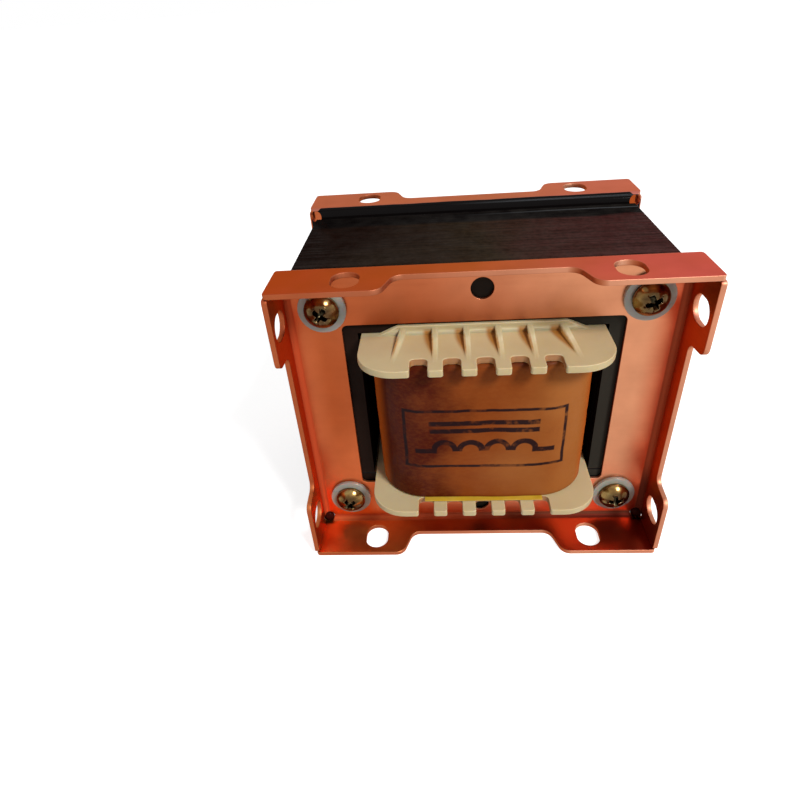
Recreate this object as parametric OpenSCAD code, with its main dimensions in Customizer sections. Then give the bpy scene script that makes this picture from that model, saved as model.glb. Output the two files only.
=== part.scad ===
// Iron-core choke held between two stamped mounting frames.
//
// The origin is the middle of the surface that the choke stands on. X runs across the laminations,
// Y through the stack and Z up. The bolt heads face -Y. All sizes are millimetres.

/* [Core] */
// Width across the laminations
core_w = 85.8; // [76:0.1:110]
// Height of an E and an I lamination together
core_h = 71.5; // [60:0.1:90]
// Width of the centre leg
leg_w = 28.6; // [20:0.1:36]
// Width of the outer legs and of the two yokes
yoke_w = 14.3; // [10:0.1:17]
// Thickness of the stack
stack_t = 40.5; // [20:0.5:70]
// Thickness of the sheet in the air gap
gap_t = 0.5; // [0.1:0.1:2]
// Diameter of the bolt holes in the laminations
core_hole_d = 4.8; // [4.6:0.1:6]

/* [Mounting frames] */
// Thickness of the sheet
sheet_t = 1.2; // [0.8:0.1:1.6]
// Inner radius of the bends
bend_r = 1.2; // [0.8:0.1:2]
// How far a frame stands out past the core at each side
frame_over_x = 2.2; // [1:0.1:6]
// How far a frame stands out past the core at the top and bottom
frame_over_z = 2.6; // [1:0.1:8]
// Depth of the ears, from the core's face
ear_depth = 14.2; // [12:0.1:20]
// Depth of the plain flange between the ears
lip_depth = 6.9; // [4:0.1:9]
// Length of the ears along the top and bottom, to the corner where they step down
end_ear_l = 23.6; // [18:0.1:30]
// Width of that step
end_step = 2.5; // [0:0.1:6]
// Radius of the rounded corners of that step
end_step_r = 2.9; // [0.5:0.1:3.2]
// Length of the ears up the sides, to the corner where they step down
side_ear_l = 17.9; // [14:0.1:22]
// Width of that step
side_step = 0.7; // [0:0.1:4]
// Radius of the rounded corners of that step
side_step_r = 2.1; // [0.5:0.1:3]
// Radius of a flange's corners at the fold, next to the relief hole
fold_corner_r = 3; // [2.4:0.1:3.2]
// Radius of the ears' front corners
ear_corner_r = 0.8; // [0.2:0.1:2]
// How far the top and bottom flange stop short of the side flanges' outer faces
end_flange_in = 0.4; // [0:0.1:1]
// Seam between a side flange and the flanges above and below it
corner_seam = 0.15; // [0.05:0.05:0.5]
// Diameter of the relief hole at each corner of the folded sheet
relief_d = 3; // [1.5:0.1:3.2]
// Distance of that hole's middle from the frame's outer faces
relief_in = 2.1; // [1.7:0.1:2.4]
// Gap between the bobbin's place in the core and the window's side
window_over_x = 3.4; // [1:0.05:5]
// Gap between the bobbin's place in the core and the window's top and bottom
window_over_z = 2.65; // [1:0.05:4]
// Radius of the window's corners
window_r = 1.3; // [0.5:0.1:4]
// Spacing of the mounting slots, along the top and bottom and up the sides
slot_pitch = 57.2; // [50:0.1:60]
// Distance of the slots' middles from the core's face
slot_depth = 8.4; // [7.8:0.1:12]
// Width of the slots
slot_w = 6; // [4:0.1:7]
// Length of the slots from end to end
slot_l = 8; // [7.5:0.1:10]
// Diameter of the plain hole in the middle of the face, near its top and bottom edge
face_hole_d = 5.1; // [3:0.1:6]
// Distance of that hole from the edge
face_hole_in = 6.4; // [5:0.1:8]
// Diameter of the bolt holes in the face
frame_hole_d = 5; // [4.8:0.1:6]

/* [Bobbin] */
// Clearance between the bobbin's tube and the centre leg
tube_clear = 0.3; // [0.1:0.05:0.8]
// Clearance between the flanges and the sides of the core's window
flange_clear = 0.8; // [0.2:0.05:1]
// Clearance between the flanges and the yokes
bobbin_end_clear = 0.2; // [0.1:0.05:0.5]
// Thickness of the tube's wall
tube_wall = 1.5; // [1:0.1:2.5]
// Thickness of the flanges
flange_t = 1.7; // [1:0.1:2.5]
// How far the flanges reach out, from the core's face
flange_reach = 17.2; // [15:0.1:24]
// Radius of the flanges' outer corners
flange_r = 8.4; // [2:0.1:11]
// Number of notches in each end of a flange
notch_count = 5; // [3:2:5]
// Spacing of the notches
notch_pitch = 7.1; // [6:0.1:7.4]
// Width of a notch
notch_w = 3.8; // [3:0.05:5]
// Depth of a notch
notch_depth = 5; // [3:0.1:6]
// Radius in the notches' inner corners
notch_r = 1.2; // [0.2:0.1:1.4]
// Radius of the teeth's tips
tooth_r = 0.6; // [0.1:0.1:1.2]
// Clearance between the upright wall and the core's face
wall_clear = 0.2; // [0.1:0.05:0.5]
// Thickness of the upright wall
wall_t = 1.3; // [0.8:0.1:2.5]
// Height of the upright wall over its flange
wall_h = 2.3; // [1.5:0.1:2.4]
// Width of the upright wall along its top
wall_top_w = 38; // [30:0.5:44]
// Width of the upright wall along its foot
wall_foot_w = 48; // [40:0.5:52]
// Thickness of the ribs
rib_t = 1.4; // [0.8:0.1:2]
// Height of the ribs where they meet the wall
rib_h = 2; // [1:0.1:2.2]
// Distance of the ribs' feet from the core's face
rib_reach = 14; // [8:0.1:15]
// How far the feet of the two outer ribs are turned outwards, in degrees
rib_splay = 9; // [0:1:20]

/* [Coil] */
// Gap between the finished coil and the outer legs
coil_gap = 2.9; // [1:0.1:5]
// Extra build of the coil at its front and rear
coil_extra = 1.6; // [0:0.1:2]
// How far the middle of the front and rear bows out
coil_bow = 0.5; // [0.1:0.1:2]
// Radius of the finished coil's corners
coil_r = 12.2; // [6:0.1:14]
// Radius that the innermost turn takes at the tube's corners
tube_r = 1.5; // [0.5:0.1:3]
// Thickness of the paper round the coil
paper_t = 0.4; // [0.1:0.05:1]
// Thickness of the tape under the paper
tape_t = 0.25; // [0.1:0.05:0.6]
// Gap between one layer and the next
layer_gap = 0.05; // [0.02:0.01:0.1]
// Gap between the coil and each flange
coil_end_gap = 0.2; // [0.1:0.1:0.5]
// Width of the tape that shows under the paper
tape_show = 0.9; // [0:0.1:4]
// How far the tape's lower edge is turned out over the flange, at the front and rear
tape_skirt = 0.8; // [0.4:0.1:2]
// Width of that turned-out edge
skirt_w = 29; // [10:0.5:30]

/* [Bolts] */
// Thread diameter of the through-bolts
bolt_d = 4; // [3:0.1:4]
// Diameter of the pan heads
head_d = 8; // [7:0.1:9]
// Height of the pan heads
head_h = 3.1; // [2:0.1:4]
// Height of the heads' straight rim
head_rim_h = 0.8; // [0.2:0.1:1.5]
// Width across the cross recess
recess_w = 4.4; // [3:0.1:5]
// Width of one arm of the cross recess
recess_arm = 1.1; // [0.6:0.1:1.4]
// Depth of the cross recess
recess_depth = 2.3; // [1:0.1:2.5]
// How far each head is turned, in degrees
head_turns = [38, 8, 52, 24]; // [0:90]
// Length of bolt past the nut
bolt_past_nut = 0.5; // [0:0.1:6]
// Outer diameter of the insulating washers
ins_washer_d = 11; // [9:0.1:12]
// Hole in the insulating washers
ins_washer_hole_d = 4.7; // [4.4:0.1:5]
// Thickness of the insulating washers
ins_washer_t = 1; // [0.5:0.1:2]
// Outer diameter of the sleeves round the bolts
sleeve_d = 4.6; // [4.4:0.05:4.6]
// Clearance between a bolt and what is pushed over it, on the diameter
bolt_play = 0.2; // [0.1:0.05:0.3]
// Outer diameter of the flat washers
flat_washer_d = 9; // [8:0.1:10]
// Thickness of the flat washers
flat_washer_t = 0.5; // [0.3:0.1:1]
// Outer diameter of the split lock washers
lock_washer_d = 7.6; // [6.5:0.1:8.5]
// Thickness of the split lock washers
lock_washer_t = 0.9; // [0.6:0.1:1.5]
// Width of the split in the lock washers
lock_split = 0.7; // [0.3:0.1:1.5]
// Width across the nuts' flats
nut_w = 7; // [6:0.1:8]
// Height of the nuts
nut_h = 3.2; // [2.2:0.1:4]
// Diameter of the nuts' flat top, inside the chamfer
nut_top_d = 6.6; // [5.5:0.1:7]

/* [Hidden] */
BOLTS = 4;

$fn = 96;
arc_step = 9;    // degrees between the points of a rounded corner
past = 1;        // how far a cutter runs past what it cuts
recess_over = 0.05; // how far the recess's cutter stands over the head
chamfer_angle = 30;
split_angle = 35;
rib_toe = 0.1;   // height of the ribs' feet
bow_turn = 0.45; // share of the coil's side that the bow's arc covers

bend_out = bend_r + sheet_t;
frame_w = core_w + 2 * frame_over_x;
frame_h = core_h + gap_t + 2 * frame_over_z;

// Heights of the core's pieces over the ground
i_bottom = frame_over_z;
i_top = i_bottom + yoke_w;
e_bottom = i_top + gap_t;
e_top = i_bottom + core_h + gap_t;
core_window_w = (core_w - leg_w) / 2 - yoke_w;
core_window_top = e_top - yoke_w;
window_mid = (e_bottom + core_window_top) / 2;

// Places of the four bolts on the core's face, from the left, the lower pair first
bolt_x = core_w / 2 - yoke_w / 2;
bolt_places = [for (z = [i_bottom + yoke_w / 2, e_top - yoke_w / 2]) for (x = [-bolt_x, bolt_x]) [x, z]];

// The bobbin stands on the spacer, in the core's windows
bobbin_bottom = e_bottom + bobbin_end_clear;
bobbin_top = core_window_top - bobbin_end_clear;
bobbin_h = bobbin_top - bobbin_bottom;
tube_x = leg_w / 2 + tube_clear;
tube_y = stack_t / 2 + tube_clear;
flange_x = leg_w / 2 + core_window_w - flange_clear;
flange_y = stack_t / 2 + flange_reach;

// Half sizes of the finished coil
coil_x = leg_w / 2 + core_window_w - coil_gap;
coil_build = coil_x - tube_x - tube_wall;
coil_y = tube_y + tube_wall + coil_build + coil_extra;
coil_bottom = bobbin_bottom + flange_t + coil_end_gap;
coil_top = bobbin_top - flange_t - coil_end_gap;

// Distances from the core's front face out, at the bolts
head_seat = sheet_t + ins_washer_t;
nut_seat = head_seat + flat_washer_t + lock_washer_t;
shank_l = head_seat + stack_t + nut_seat + nut_h + bolt_past_nut;

function unit(v) = v / norm(v);

// The arc that rounds one corner between two straight runs
function corner_arc(before, corner, after, r) =
    let (
        back = unit(before - corner),
        on = unit(after - corner),
        half = acos(back * on) / 2,
        centre = corner + unit(back + on) * r / sin(half),
        first = corner + back * r / tan(half) - centre,
        last = corner + on * r / tan(half) - centre,
        from = atan2(first.y, first.x),
        swing = atan2(last.y, last.x) - from,
        turn = swing > 180 ? swing - 360 : swing < -180 ? swing + 360 : swing,
        steps = max(2, ceil(abs(turn) / arc_step))
    )
    [for (i = [0 : steps]) centre + r * [cos(from + turn * i / steps), sin(from + turn * i / steps)]];

// An outline through corners [x, y, radius]
function rounded(corners) =
    let (n = len(corners), at = [for (c = corners) [c.x, c.y]])
    [for (i = [0 : n - 1]) each corner_arc(at[(i + n - 1) % n], at[i], at[(i + 1) % n], corners[i].z)];

function rounded_box(half_x, half_y, r) =
    rounded([[-half_x, -half_y, r], [half_x, -half_y, r], [half_x, half_y, r], [-half_x, half_y, r]]);

// Puts a piece on the core's front face: X across, Y up from the ground, Z out towards the viewer
module on_front_face() {
    translate([0, -stack_t / 2, 0]) rotate([90, 0, 0]) children();
}

module on_rear_face() {
    rotate([0, 0, 180]) on_front_face() children();
}

module at_bolts(numbers = [0 : BOLTS - 1]) {
    for (i = numbers) translate([bolt_places[i].x, bolt_places[i].y, 0]) children();
}

module ring(outer_d, hole_d, height) {
    difference() {
        cylinder(d = outer_d, h = height);
        translate([0, 0, -past]) cylinder(d = hole_d, h = height + 2 * past);
    }
}

// Mounting frames

// Section of a folded flange: X is the distance from the frame's middle, Y the distance from the core
module bent_section(edge) {
    translate([edge - sheet_t, bend_out]) square([sheet_t, ear_depth - bend_out]);
    translate([edge - bend_out, bend_out]) intersection() {
        difference() {
            circle(bend_out);
            circle(bend_r);
        }
        translate([0, -bend_out]) square(bend_out);
    }
}

// Flat outline of a flange: X along the frame's edge, Y away from the core
function flange_outline(half, ear_l, step, step_r) =
    rounded([
        [-half, 0, fold_corner_r], [half, 0, fold_corner_r],
        [half, ear_depth, ear_corner_r], [half - ear_l, ear_depth, step_r],
        [half - ear_l - step, lip_depth, step_r], [ear_l + step - half, lip_depth, step_r],
        [ear_l - half, ear_depth, step_r], [-half, ear_depth, ear_corner_r]]);

module slot() {
    run = slot_l - slot_w;
    for (s = [-1, 1]) translate([s * run / 2, 0, 0]) cylinder(d = slot_w, h = 2 * bend_out, center = true);
    cube([run, slot_w, 2 * bend_out], center = true);
}

// One flange with its two ears, folded up along the edge on +X
module folded_flange(edge, half, ear_l, step, step_r) {
    difference() {
        intersection() {
            rotate([90, 0, 0]) linear_extrude(2 * half, center = true) bent_section(edge);
            rotate([90, 0, 90]) linear_extrude(edge + past) polygon(flange_outline(half, ear_l, step, step_r));
        }
        for (s = [-1, 1])
            translate([edge, s * slot_pitch / 2, slot_depth]) rotate([0, 90, 0]) slot();
    }
}

module face_plate() {
    linear_extrude(sheet_t) difference() {
        square([frame_w - 2 * bend_out, frame_h - 2 * bend_out], center = true);
        translate([0, window_mid - frame_h / 2]) polygon(rounded_box(
            leg_w / 2 + core_window_w + window_over_x,
            (core_window_top - e_bottom) / 2 + window_over_z,
            window_r));
    }
}

// The whole stamping, flat on the core's face with its middle at the origin
module end_frame() {
    side_half = frame_h / 2 - sheet_t - corner_seam;
    difference() {
        union() {
            face_plate();
            for (turn = [0, 180]) {
                rotate([0, 0, turn])
                    folded_flange(frame_w / 2, side_half, side_ear_l - sheet_t - corner_seam, side_step, side_step_r);
                rotate([0, 0, turn + 90])
                    folded_flange(frame_h / 2, frame_w / 2 - end_flange_in, end_ear_l, end_step, end_step_r);
            }
        }
        for (sx = [-1, 1]) for (sy = [-1, 1])
            translate([sx * (frame_w / 2 - relief_in), sy * (frame_h / 2 - relief_in), -past])
                cylinder(d = relief_d, h = bend_out + 2 * past);
        for (s = [-1, 1])
            translate([0, s * (frame_h / 2 - face_hole_in), -past]) cylinder(d = face_hole_d, h = sheet_t + 2 * past);
        translate([0, -frame_h / 2, -past]) at_bolts() cylinder(d = frame_hole_d, h = sheet_t + 2 * past);
    }
}

module front_end_frame() {
    color("#c4572f") on_front_face() translate([0, frame_h / 2, 0]) end_frame();
}

module rear_end_frame() {
    color("#c4572f") on_rear_face() translate([0, frame_h / 2, 0]) end_frame();
}

// Core

module lamination_stack() {
    rotate([90, 0, 0]) linear_extrude(stack_t, center = true) difference() {
        children();
        at_bolts() circle(d = core_hole_d);
    }
}

module e_lamination_stack() {
    color("#1d1613") lamination_stack() difference() {
        translate([-core_w / 2, e_bottom]) square([core_w, e_top - e_bottom]);
        for (s = [-1, 1])
            translate([s * (leg_w + core_window_w) / 2 - core_window_w / 2, e_bottom - past])
                square([core_window_w, core_window_top - e_bottom + past]);
    }
}

module i_lamination_stack() {
    color("#1d1613") lamination_stack() translate([-core_w / 2, i_bottom]) square([core_w, yoke_w]);
}

module air_gap_spacer() {
    color("#a8875a") translate([-core_w / 2, -stack_t / 2, i_top]) cube([core_w, stack_t, gap_t]);
}

// Bobbin

// The notches of one end, from left to right along the flange's front edge
function notch_corners() =
    [for (i = [0 : notch_count - 1])
        let (middle = (i - (notch_count - 1) / 2) * notch_pitch, half = notch_w / 2)
        each [
            [middle - half, -flange_y, tooth_r], [middle - half, notch_depth - flange_y, notch_r],
            [middle + half, notch_depth - flange_y, notch_r], [middle + half, -flange_y, tooth_r]]];

function flange_end() = concat([[-flange_x, -flange_y, flange_r]], notch_corners(), [[flange_x, -flange_y, flange_r]]);

function half_turn(corners) = [for (c = corners) [-c.x, -c.y, c.z]];

module bobbin_flange() {
    linear_extrude(flange_t) difference() {
        polygon(rounded(concat(flange_end(), half_turn(flange_end()))));
        square([2 * tube_x, 2 * tube_y], center = true);
    }
}

// The upright wall that stands before the core's face, on top of a flange
module upright_wall() {
    translate([0, -stack_t / 2 - wall_clear, 0]) rotate([90, 0, 0]) linear_extrude(wall_t)
        polygon([
            [-wall_foot_w / 2, 0], [wall_foot_w / 2, 0], [wall_top_w / 2, wall_h], [-wall_top_w / 2, wall_h]]);
}

// A rib that slopes from the wall down to the flange's edge
module rib() {
    rotate([90, 0, -90]) linear_extrude(rib_t, center = true)
        polygon([[0, 0], [rib_reach - wall_clear, 0], [rib_reach - wall_clear, rib_toe], [wall_t, rib_h], [0, rib_h]]);
}

// The ribs run down to the teeth and beside the outermost notches
module flange_ribs() {
    for (i = [0 : notch_count]) {
        place = i - notch_count / 2;
        outer = i == 0 || i == notch_count;
        translate([place * notch_pitch, -stack_t / 2 - wall_clear, 0])
            rotate([0, 0, outer ? sign(place) * rib_splay : 0]) rib();
    }
}

module bobbin_end() {
    for (turn = [0, 180]) rotate([0, 0, turn]) {
        upright_wall();
        flange_ribs();
    }
}

module bobbin() {
    color("#d9cda6") translate([0, 0, bobbin_bottom]) {
        linear_extrude(bobbin_h) difference() {
            polygon(rounded_box(tube_x + tube_wall, tube_y + tube_wall, tube_r));
            square([2 * tube_x, 2 * tube_y], center = true);
        }
        bobbin_flange();
        mirror([0, 0, 1]) bobbin_end();
        translate([0, 0, bobbin_h - flange_t]) bobbin_flange();
        translate([0, 0, bobbin_h]) bobbin_end();
    }
}

// Coil

// Outline of the coil, a given distance inside its finished surface
function coil_outline(inside) =
    let (
        x = coil_x - inside,
        y = coil_y - inside,
        r = coil_r - inside,
        bow_r = bow_turn * x * x / coil_bow
    )
    rounded([
        [-x, coil_bow - y, r], [0, -y, bow_r], [x, coil_bow - y, r],
        [x, y - coil_bow, r], [0, y, bow_r], [-x, y - coil_bow, r]]);

module coil_layer(inside, thickness, bottom, top) {
    translate([0, 0, bottom]) linear_extrude(top - bottom) difference() {
        polygon(coil_outline(inside));
        polygon(coil_outline(inside + thickness));
    }
}

module winding() {
    color("#8c3f1c") translate([0, 0, coil_bottom]) linear_extrude(coil_top - coil_bottom) difference() {
        polygon(coil_outline(paper_t + tape_t + 2 * layer_gap));
        polygon(rounded_box(tube_x + tube_wall + layer_gap, tube_y + tube_wall + layer_gap, tube_r + layer_gap));
    }
}

// The tape's lower edge is turned out, in front and at the rear, where it lies on the flange
module inner_tape() {
    color("#d8b224") {
        coil_layer(paper_t + layer_gap, tape_t, coil_bottom, coil_top);
        translate([0, 0, coil_bottom]) linear_extrude(tape_t) difference() {
            square([skirt_w, 2 * (coil_y + tape_skirt)], center = true);
            polygon(coil_outline(paper_t + layer_gap + tape_t / 2));
        }
    }
}

module outer_wrap() {
    color("#9c5a26") coil_layer(0, paper_t, coil_bottom + tape_show, coil_top);
}

// Bolts and what is on them

module head_profile() {
    dome_h = head_h - head_rim_h;
    dome_r = (head_d * head_d / 4 + dome_h * dome_h) / (2 * dome_h);
    square([head_d / 2, head_rim_h]);
    translate([0, head_h - dome_r]) intersection() {
        circle(dome_r);
        translate([0, dome_r - dome_h]) square([head_d / 2, dome_h]);
    }
}

module cross_recess() {
    intersection() {
        cylinder(d1 = recess_arm, d2 = recess_w, h = recess_depth);
        union() {
            for (turn = [0, 90])
                rotate([0, 0, turn]) cube([2 * recess_w, recess_arm, 3 * recess_depth], center = true);
        }
    }
}

module through_bolt(turn) {
    difference() {
        rotate_extrude() head_profile();
        translate([0, 0, head_h + recess_over - recess_depth]) rotate([0, 0, turn]) cross_recess();
    }
    translate([0, 0, -shank_l]) cylinder(d = bolt_d, h = shank_l);
}

module bolts() {
    color("#b8963a") on_front_face() translate([0, 0, head_seat])
        for (i = [0 : BOLTS - 1]) at_bolts([i]) through_bolt(head_turns[i]);
}

module nuts() {
    color("#b8963a") on_rear_face() translate([0, 0, nut_seat]) at_bolts()
        difference() {
            intersection() {
                cylinder(d = nut_w / cos(30), h = nut_h, $fn = 6);
                cylinder(d1 = nut_top_d + 2 * nut_h / tan(chamfer_angle), d2 = nut_top_d, h = nut_h);
            }
            translate([0, 0, -past]) cylinder(d = bolt_d + bolt_play, h = nut_h + 2 * past);
        }
}

module lock_washers() {
    color("#c9b37a") on_rear_face() translate([0, 0, head_seat + flat_washer_t]) at_bolts()
        difference() {
            ring(lock_washer_d, bolt_d + bolt_play, lock_washer_t);
            translate([0, 0, -past]) rotate([0, 0, split_angle])
                translate([0, -lock_split / 2, 0]) cube([lock_washer_d, lock_split, lock_washer_t + 2 * past]);
        }
}

module flat_washers() {
    color("#c9b37a") on_rear_face() translate([0, 0, head_seat]) at_bolts()
        ring(flat_washer_d, bolt_d + bolt_play, flat_washer_t);
}

module insulating_washer() {
    color("#cfc8b8") ring(ins_washer_d, ins_washer_hole_d, ins_washer_t);
}

module bolt_sleeve(i) {
    color("#e8e0c8") on_front_face() translate([0, 0, -stack_t - sheet_t]) at_bolts([i])
        ring(sleeve_d, bolt_d + bolt_play, stack_t + 2 * sheet_t);
}

front_end_frame();
rear_end_frame();
e_lamination_stack();
i_lamination_stack();
air_gap_spacer();
bobbin();
winding();
inner_tape();
outer_wrap();
bolts();
nuts();
lock_washers();
flat_washers();
for (i = [1 : BOLTS]) {
    on_front_face() translate([0, 0, sheet_t]) at_bolts([i - 1]) insulating_washer();
    on_rear_face() translate([0, 0, sheet_t]) at_bolts([i - 1]) insulating_washer();
    bolt_sleeve(i - 1);
}
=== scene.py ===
# %% [markdown]
# # An iron-core choke, finished in Blender
#
# A choke is a coil of wire on an iron core. This one stands between two stamped, copper-plated frames,
# whose slotted ears let it be screwed down on any of four sides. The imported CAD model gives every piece
# its place. Here the pieces get what CAD leaves out: loose laminations, paper wrinkles, rounded edges,
# varnish, ink and metal.

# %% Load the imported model
import math
import random

import bmesh
import bpy
from mathutils import Matrix, Vector, noise
from mathutils.bvhtree import BVHTree


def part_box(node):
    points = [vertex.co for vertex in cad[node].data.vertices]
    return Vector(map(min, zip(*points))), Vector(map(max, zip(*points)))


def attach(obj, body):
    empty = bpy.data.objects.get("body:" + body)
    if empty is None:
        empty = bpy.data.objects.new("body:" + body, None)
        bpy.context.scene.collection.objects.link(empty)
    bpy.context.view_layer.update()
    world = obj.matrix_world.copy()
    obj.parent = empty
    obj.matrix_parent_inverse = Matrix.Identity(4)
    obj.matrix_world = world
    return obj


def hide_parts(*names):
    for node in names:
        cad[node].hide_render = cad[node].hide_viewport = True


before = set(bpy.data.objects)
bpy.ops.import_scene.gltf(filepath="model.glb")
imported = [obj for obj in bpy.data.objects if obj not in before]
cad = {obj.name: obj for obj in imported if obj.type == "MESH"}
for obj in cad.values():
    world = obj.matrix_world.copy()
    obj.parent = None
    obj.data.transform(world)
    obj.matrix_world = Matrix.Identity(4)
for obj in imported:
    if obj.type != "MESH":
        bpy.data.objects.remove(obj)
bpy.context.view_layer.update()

MM = 0.001

# %% [markdown]
# ## The camera
#
# The photograph was taken by hand from a short distance, above the choke and a little to its left. The
# camera's place, angles and lens come from matching the corners, washers and window of the CAD model to the
# picture. The camera comes first, so that each finish can be judged in the real view.

# %% Set up the camera
FOCAL_PIXELS = 588.3
PICTURE_SIDE = 800
SENSOR_WIDTH = 36.0
CAMERA_PLACE = (-8.54, -140.81, 124.64)
CAMERA_TURN = (55.309, 3.857, 2.778)

scene = bpy.context.scene
camera_data = bpy.data.cameras.new("camera")
camera_data.sensor_width = SENSOR_WIDTH
camera_data.lens = FOCAL_PIXELS / PICTURE_SIDE * SENSOR_WIDTH
camera_data.clip_start = 0.01
camera = bpy.data.objects.new("camera", camera_data)
camera.location = Vector(CAMERA_PLACE) * MM
camera.rotation_euler = [math.radians(angle) for angle in CAMERA_TURN]
scene.collection.objects.link(camera)
scene.camera = camera
print("lens in mm", round(camera_data.lens, 2))

# %% [markdown]
# ## From mesh to piece
#
# Every new shape is built as a bmesh, Blender's editable mesh. One helper turns it into an object that rides
# on the choke and hides the CAD nodes it stands in for. Big flat faces beside tiny rounded edges shade badly
# with plain smooth shading, so a Weighted Normal modifier lets the big faces win.

# %% A helper that finishes a piece
def finished(name, bm, slot, *nodes):
    mesh = bpy.data.meshes.new(name)
    for face in bm.faces:
        face.smooth = True
    bm.to_mesh(mesh)
    bm.free()
    piece = bpy.data.objects.new(name, mesh)
    scene.collection.objects.link(piece)
    normals = piece.modifiers.new("flat faces win", "WEIGHTED_NORMAL")
    normals.keep_sharp = True
    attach(piece, "root")
    if nodes:
        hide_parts(*nodes)
    print(name, len(mesh.vertices), "vertices,", len(mesh.polygons), "faces")
    return piece


# %% [markdown]
# ## Rounded edges
#
# No stamped, moulded or turned part has a perfectly sharp edge, and the thin line of light along an edge is
# what makes it look real. A copy of the CAD mesh is merged, its flat triangles are dissolved into whole
# faces, and the sharp outer edges get a small bevel. Inner corners are left alone, because nothing rubs
# there. The bevel's own faces are marked in an attribute named edge, so that a material can show the wear.

# %% A helper that softens a copy of a CAD node
MERGE = 0.002 * MM
SKIN = 0.01 * MM
FLAT = math.radians(0.6)
CORNER = math.radians(32)
QUARTER_TURN = math.radians(90)


def merged_copy(node):
    bm = bmesh.new()
    bm.from_mesh(cad[node].data)
    bmesh.ops.remove_doubles(bm, verts=bm.verts, dist=MERGE)
    bmesh.ops.dissolve_limit(bm, angle_limit=FLAT, verts=bm.verts, edges=bm.edges)
    return bm


def outer_corners(bm):
    return [e for e in bm.edges if e.is_manifold and e.is_convex and e.calc_face_angle() > CORNER]


def rounded(bm, edges, width, segments=2):
    """Bevels these edges and marks the new faces."""
    edge = bm.faces.layers.float["edge"]
    made = bmesh.ops.bevel(
        bm, geom=edges, affect="EDGES", offset=width * MM, offset_type="OFFSET",
        segments=segments, profile=0.5, material=-1, clamp_overlap=False, loop_slide=True)
    for face in made["faces"]:
        face[edge] = 1.0
    print("rounded", len(edges), "edges by", width, "mm")


def softened(node, width):
    bm = merged_copy(node)
    bm.faces.layers.float.new("edge")
    rounded(bm, outer_corners(bm), width)
    return bm


# %% [markdown]
# ## The two mounting frames
#
# Each frame is one stamping of 1.2 mm steel: blanked with its window, holes and slots, folded on four
# sides, and copper plated. A shear cuts part of the way and tears the rest, so the cut edge is duller and
# lighter than the rolled face. To find the cut edge, a ray is sent into the metal from each face: where
# the far side is further away than the sheet is thick, the face lies on the cut.

# %% Build both frames
SHEET_THICKNESS = 1.2 * MM
THROUGH = 1.3 * SHEET_THICKNESS
FRAME_ROUND = 0.12


def mark_cut_edges(bm):
    cut = bm.faces.layers.float.new("cut")
    tree = BVHTree.FromBMesh(bm)
    for face in bm.faces:
        start = face.calc_center_median_weighted() - face.normal * SKIN
        hit, _, _, distance = tree.ray_cast(start, -face.normal)
        if hit is not None and distance > THROUGH:
            face[cut] = 1.0
    return sum(face[cut] for face in bm.faces)


frames = []
for side in ("front", "rear"):
    stamping = softened(f"{side}_end_frame", FRAME_ROUND)
    print("faces on the cut:", mark_cut_edges(stamping))
    frames.append(finished(f"{side}_frame", stamping, "frame_copper_plate", f"{side}_end_frame"))

# %% [markdown]
# ## The laminations
#
# The core is not one block of iron but 81 thin sheets, each insulated from the next, which keeps eddy
# currents small. In this standard pattern every size is a multiple of half the centre leg, because the two
# I pieces are punched out of the E's windows and nothing is wasted. So an E is a grid of 6 by 4 squares
# without its windows, and an I is a row of 6 squares. The windows and the bolt holes are placed in half legs
# from the middle.

# %% Cut one E and one I from a grid
HALF_LEG = 14.3 * MM
COLUMNS = 6
WINDOWS_AT = (-1.5, 1.5)
HOLES_AT = (-2.5, 2.5)
BOLT_HOLE = 4.8 * MM
SHEETS = 81
SHEET_PITCH = 0.5 * MM
SHEET_GAP = 0.003 * MM
RIM = 0.035 * MM
core_back = -SHEETS * SHEET_PITCH / 2


def lamination(node, rows, hole_row):
    low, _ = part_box(node)
    bm = bmesh.new()
    bmesh.ops.create_grid(bm, x_segments=COLUMNS, y_segments=rows, size=0.5)
    bmesh.ops.scale(bm, verts=bm.verts, vec=(COLUMNS * HALF_LEG, rows * HALF_LEG, 1))
    bmesh.ops.rotate(bm, verts=bm.verts, matrix=Matrix.Rotation(QUARTER_TURN, 3, "X"))
    bmesh.ops.translate(bm, verts=bm.verts, vec=(0, core_back, low.z + rows * HALF_LEG / 2))
    for row in range(rows - 1):
        for side in WINDOWS_AT:
            middle = Vector((side * HALF_LEG, core_back, low.z + (row + 0.5) * HALF_LEG))
            square = [f for f in bm.faces if (f.calc_center_median() - middle).length < RIM]
            bmesh.ops.delete(bm, geom=square, context="FACES")
    bmesh.ops.dissolve_limit(bm, angle_limit=FLAT, verts=bm.verts, edges=bm.edges)
    bmesh.ops.delete(bm, geom=bm.faces, context="FACES_ONLY")
    for side in HOLES_AT:
        place = Vector((side * HALF_LEG, core_back, low.z + (hole_row + 0.5) * HALF_LEG))
        turn = Matrix.Rotation(QUARTER_TURN, 4, "X")
        bmesh.ops.create_circle(
            bm, cap_ends=False, segments=12, radius=BOLT_HOLE / 2, matrix=Matrix.Translation(place) @ turn)
    bmesh.ops.triangle_fill(bm, use_beauty=True, use_dissolve=False, edges=bm.edges, normal=(0, -1, 0))
    return bm


e_sheet = lamination("e_lamination_stack", rows=4, hole_row=3)
i_sheet = lamination("i_lamination_stack", rows=1, hole_row=0)
for sheet in (e_sheet, i_sheet):
    print(len(sheet.verts), "corners and", round(sum(f.calc_area() for f in sheet.faces) / MM ** 2), "mm2")

# %% [markdown]
# The sheets are stacked with a loose fit, so no two lie quite flush. The sheet gets its thickness and a tiny
# rim, then it is copied along the stack, each copy moved by up to two hundredths of a millimetre. Each copy
# also carries its own random number, so that no two sheets hold quite the same amount of varnish.

# %% Stack the sheets
STRAY = 0.018 * MM


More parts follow.
